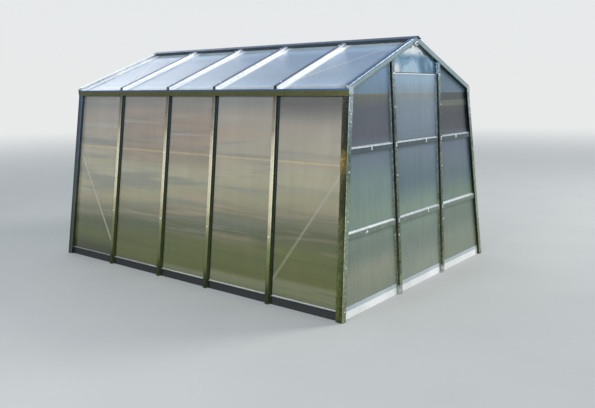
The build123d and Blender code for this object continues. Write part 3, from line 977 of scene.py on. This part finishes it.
# Gable: positions are distances from the middle, then heights
post_across = gable_post_spacing / 2
plate_bottom = 1.904
clip_drop = 0.012
corner_edge = hat_height / math.cos(wall_angle)
flange_middle = 0.024
post_screw_heights = (0.04, 1.05, 1.62)
corner_screw_heights = (0.083, 0.42, 0.78, 1.15, 1.524, 1.584, 1.675)
verge_lap_height = 1.7575
verge_lap_shift = 0.006
verge_lap = (0.056, 0.055, 0.0016)
low_bolt = (0.010, 0.534)
flange_bolt = (0.031, 0.535)
joint_drop = 0.012
joint_size = (0.022, 0.040)
plate_bolt_drop = 0.012
upper_clips = (-0.780, 0.142, 0.760)
turned_clip = (-0.908, 0.646)
clip_turn = math.radians(68)
lower_clip = 0.145
knob = (-0.028, 2.144)
knob_radius = 0.024
knob_height = 0.020
gable_screws = Fixings("gable_screws")


def on_gable(x, height, rise=hat_height):
    return gable_point(x, height) + gable_out * rise


def flange_point(side, height):
    """Middle of a corner post's flange on the gable."""
    edge = half_width - wall_lean * height / eave_height + corner_edge
    return on_gable(side * (edge - flange_middle), height)


for side in (-1, 1):
    for height in post_screw_heights:
        gable_screws.screw(on_gable(side * post_across, height), gable_out, gable_up)
    for height in corner_screw_heights:
        gable_screws.screw(flange_point(side, height), gable_out, gable_up, 0.9)
    lap = flange_point(side, verge_lap_height) + Vector((side * verge_lap_shift, 0, 0))
    gable_screws.plate(lap, gable_out, gable_up, *verge_lap, pale_slot)
    gable_screws.bolt(on_gable(side * (post_across + low_bolt[0]), low_bolt[1]), gable_out, gable_up, 0.7)
    spot = on_gable(side * (post_across + flange_bolt[0]), flange_bolt[1], 0.002)
    gable_screws.bolt(spot, gable_out, gable_up, 0.7)
    for rail in (lower_rail_height, upper_rail_height):
        spot = on_gable(side * post_across, rail - joint_drop)
        gable_screws.joint_plate(spot, gable_out, gable_up, *joint_size)
    spot = on_gable(side * post_across, plate_bottom - plate_bolt_drop)
    gable_screws.bolt(spot, gable_out, gable_up, 0.8)
for x in upper_clips:
    gable_screws.clip(on_gable(x, upper_rail_height - clip_drop, rail_height), gable_out, gable_up)
gable_screws.clip(on_gable(*turned_clip, rail_height), gable_out, gable_up, clip_turn)
gable_screws.clip(on_gable(lower_clip, lower_rail_height - clip_drop, rail_height), gable_out, gable_up)
gable_screws.ring(on_gable(*knob, hat_height + surface_lift), gable_out, gable_up, knob_radius, knob_height)

# Dark seam under the apex plate, and a bright strip under that: drop, height and thickness of each
strip_width = gable_post_spacing - hat_crown - 0.06
for drop, height, thickness, slot in ((0.002, 0.006, 0.0016, rubber_and_shade_slot), (0.010, 0.008, 0.002, zinc_slot)):
    spot = on_gable(0, plate_bottom - drop, 0)
    gable_screws.plate(spot, gable_out, gable_up, strip_width, height, thickness, slot)
gable_screws.finish(ends=both)

# Camera: where it stood, where it looked, and its lens, from the photograph's lines
image_width = 595
focal_pixels = 623.03
shift_pixels = (-30, 40)
camera_place = Vector((-5.02779, -4.53027, 1.76829))
camera_yaw = 0.92818
camera_pitch = 0.24338
camera_roll = -0.00745
camera_data = bpy.data.cameras.new("camera")
camera_data.sensor_width = 36
camera_data.lens = focal_pixels / image_width * camera_data.sensor_width
camera_data.shift_x = shift_pixels[0] / image_width
camera_data.shift_y = shift_pixels[1] / image_width
camera = bpy.data.objects.new("camera", camera_data)
bpy.context.scene.collection.objects.link(camera)
forward = Vector(
    (
        math.sin(camera_yaw) * math.cos(camera_pitch),
        math.cos(camera_yaw) * math.cos(camera_pitch),
        -math.sin(camera_pitch),
    )
)
level = Vector((math.cos(camera_yaw), -math.sin(camera_yaw), 0))
upright = level.cross(forward)
right = level * math.cos(camera_roll) + upright * math.sin(camera_roll)
up = upright * math.cos(camera_roll) - level * math.sin(camera_roll)
turn = Matrix((right, up, -forward)).transposed().to_4x4()
camera.matrix_world = Matrix.Translation(camera_place) @ turn
bpy.context.scene.camera = camera
bpy.context.scene.view_settings.view_transform = "Standard"

# Studio: pale floor, a pale to blue grey dome that glows towards one side, and two large soft lamps
backdrop_colour = rgb(232, 234, 234)
floor_reach = 60.0
floor_drop = -0.0005
floor_fades = (5.0, 26.0)
floor_lift = 0.15
floor_mesh = bpy.data.meshes.new("floor")
corners = [(x * floor_reach, y * floor_reach, floor_drop) for x, y in ((-1, -1), (1, -1), (1, 1), (-1, 1))]
floor_mesh.from_pydata(corners, [], [(0, 1, 2, 3)])
floor = bpy.data.objects.new("floor", floor_mesh)
bpy.context.scene.collection.objects.link(floor)
s = Shader("floor")
tone = s.mix(s.noise(s.position, 1.5, 3.0), rgb(168, 169, 167), rgb(176, 177, 174))
ground = s.node("ShaderNodeBsdfPrincipled", {"Base Color": tone, "Roughness": 0.9})
rays = s.node("ShaderNodeLightPath").outputs
mirrored = s.math("MAXIMUM", rays["Is Glossy Ray"], rays["Is Transmission Ray"])
seen = s.math("MAXIMUM", rays["Is Camera Ray"], mirrored)
lift = s.node("ShaderNodeEmission", {"Color": tone, "Strength": s.math("MULTIPLY", seen, floor_lift)})
lifted = s.node("ShaderNodeAddShader", {0: ground.outputs[0], 1: lift.outputs[0]})
reach = s.math("SQRT", s.math("ADD", s.math("MULTIPLY", s.x, s.x), s.math("MULTIPLY", s.y, s.y)))
far = s.math("MULTIPLY", s.span(reach, *floor_fades), seen)
backdrop = s.node("ShaderNodeEmission", {"Color": backdrop_colour, "Strength": 1.0})
blended = s.node("ShaderNodeMixShader", {0: far, 1: lifted.outputs[0], 2: backdrop.outputs[0]})
floor_mesh.materials.append(s.finish(blended.outputs[0]))

# Colours of the dome by height, and its glow: its middle, cosines of its edge and core, and strengths
dome_stops = [
    (0.0, backdrop_colour),
    (0.34, rgb(228, 231, 234)),
    (0.60, rgb(184, 198, 214)),
    (1.0, rgb(176, 190, 208)),
]
glow_middle = (0.288, 0.888, 0.358)
glow_span = (0.930, 0.9925, 1.0, 2.85)
world = bpy.data.worlds.new("studio")
bpy.context.scene.world = world
world.use_nodes = True
tree = world.node_tree
tree.nodes.clear()
direction = tree.nodes.new("ShaderNodeTexCoord").outputs["Generated"]
parts = tree.nodes.new("ShaderNodeSeparateXYZ")
tree.links.new(direction, parts.inputs[0])
ramp = tree.nodes.new("ShaderNodeValToRGB")
tree.links.new(parts.outputs[2], ramp.inputs[0])
ends = ramp.color_ramp.elements
ends[0].position, ends[0].color = dome_stops[0]
ends[1].position, ends[1].color = dome_stops[-1]
for place, colour in dome_stops[1:-1]:
    ends.new(place).color = colour
background = tree.nodes.new("ShaderNodeBackground")
tree.links.new(ramp.outputs[0], background.inputs[0])
toward = tree.nodes.new("ShaderNodeVectorMath")
toward.operation = "DOT_PRODUCT"
tree.links.new(direction, toward.inputs[0])
toward.inputs[1].default_value = glow_middle
glow = tree.nodes.new("ShaderNodeMapRange")
tree.links.new(toward.outputs["Value"], glow.inputs[0])
for index, value in enumerate(glow_span):
    glow.inputs[index + 1].default_value = value
seen_plain = tree.nodes.new("ShaderNodeMix")
tree.links.new(tree.nodes.new("ShaderNodeLightPath").outputs["Is Camera Ray"], seen_plain.inputs[0])
tree.links.new(glow.outputs[0], seen_plain.inputs[2])
seen_plain.inputs[3].default_value = 1.0
tree.links.new(seen_plain.outputs[0], background.inputs[1])
out = tree.nodes.new("ShaderNodeOutputWorld")
tree.links.new(background.outputs[0], out.inputs[0])


def soft_lamp(name, place, size, power, colour):
    """Round lamp of this size, aimed at the middle of the object."""
    data = bpy.data.lights.new(name, "AREA")
    data.shape = "DISK"
    data.size = size
    data.energy = power
    data.color = colour
    lamp = bpy.data.objects.new(name, data)
    bpy.context.scene.collection.objects.link(lamp)
    aim = (Vector((0, 0, 1)) - Vector(place)).to_track_quat("-Z", "Y")
    lamp.matrix_world = Matrix.Translation(Vector(place)) @ aim.to_matrix().to_4x4()


soft_lamp("key", place=(7.0, -6.0, 8.0), size=4.0, power=750, colour=(1.0, 0.98, 0.94))
soft_lamp("fill", place=(-9.0, -1.0, 4.0), size=5.0, power=480, colour=(1.0, 1.0, 1.0))
